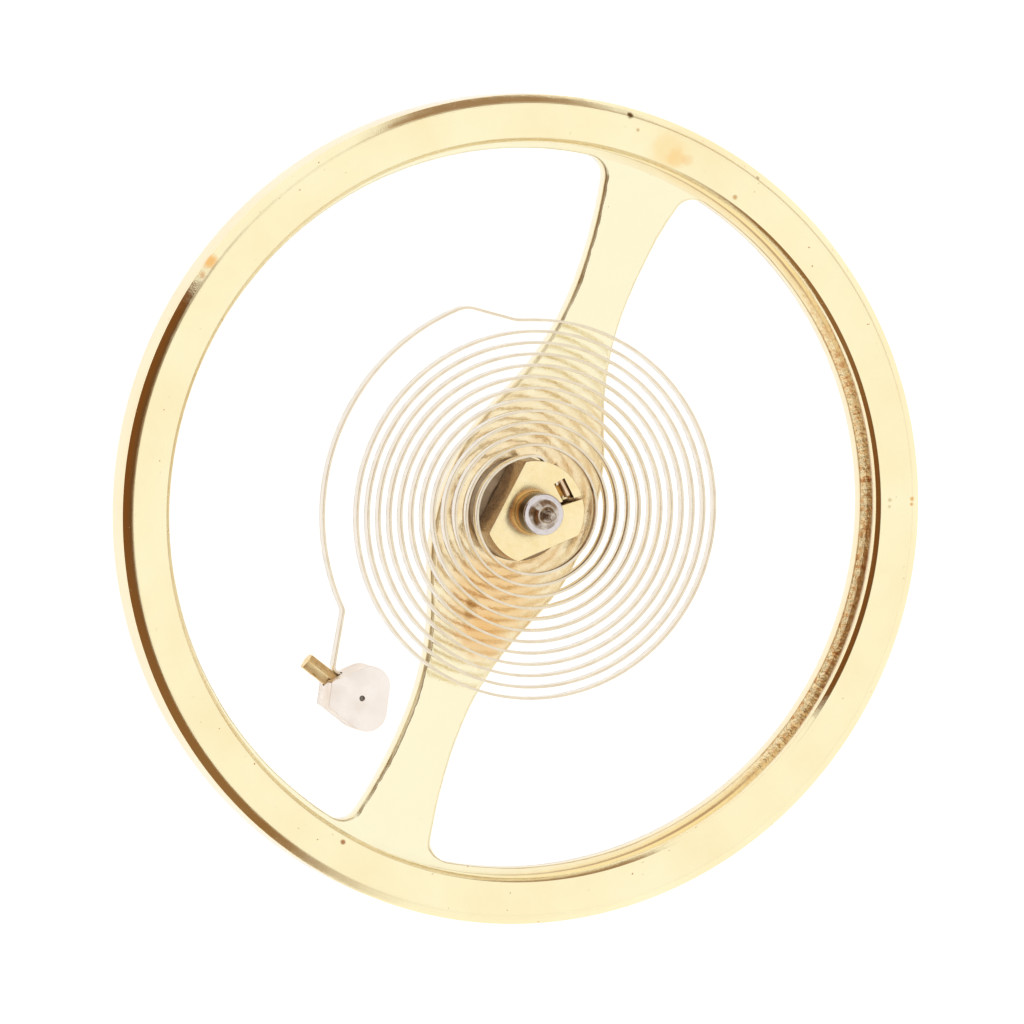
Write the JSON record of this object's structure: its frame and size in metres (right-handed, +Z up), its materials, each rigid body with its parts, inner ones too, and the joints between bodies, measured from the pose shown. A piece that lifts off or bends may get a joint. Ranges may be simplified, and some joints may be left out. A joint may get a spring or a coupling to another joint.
{
  "type": "watch balance wheel",
  "caption": "Polished gilt two-armed balance wheel for a wrist watch, on its staff, with a flat spiral hairspring pinned between collet and stud.",
  "frame": {"origin": "tip of the lower pivot, on the staff's axis", "axes": "+Z up the staff from the lower pivot, which runs in the main plate, to the upper pivot under the balance cock; +Y and -Y along the wheel's two arms; the stud stands at about 246 degrees from +X towards +Y"},
  "size_m": [0.01, 0.01, 0.0032],
  "materials": {
    "gilt_brass": "mirror polished and gilt, pale gold",
    "polished_steel": "hardened, polished",
    "collet_brass": "polished, gilt",
    "pin_brass": "drawn brass, cut ends",
    "spring_alloy": "rolled spring alloy strip, bright",
    "stud_steel": "nickel plated, satin",
    "roller_brass": "polished, gilt",
    "ruby": "polished synthetic ruby",
    "shellac": "set shellac, glossy"
  },
  "bodies": {
    "stud": {"hairspring_stud": "stud_steel", "stud_pin": "pin_brass", "hairspring": "spring_alloy"},
    "balance": {"balance_wheel": "gilt_brass", "balance_staff": "polished_steel", "hairspring_collet": "collet_brass", "collet_pin": "pin_brass", "impulse_roller": "roller_brass", "safety_roller": "roller_brass", "impulse_jewel": "ruby", "jewel_shellac": "shellac"}
  },
  "joints": [
    {"name": "balance_swing", "type": "hinge", "parent": "stud", "child": "balance", "pos_m": [0, 0, 0.00165], "axis": [0, 0, 1], "range_deg": [-300, 300], "stiffness_Nm_per_rad": 0.00000048, "deforming": ["hairspring"]}
  ]
}
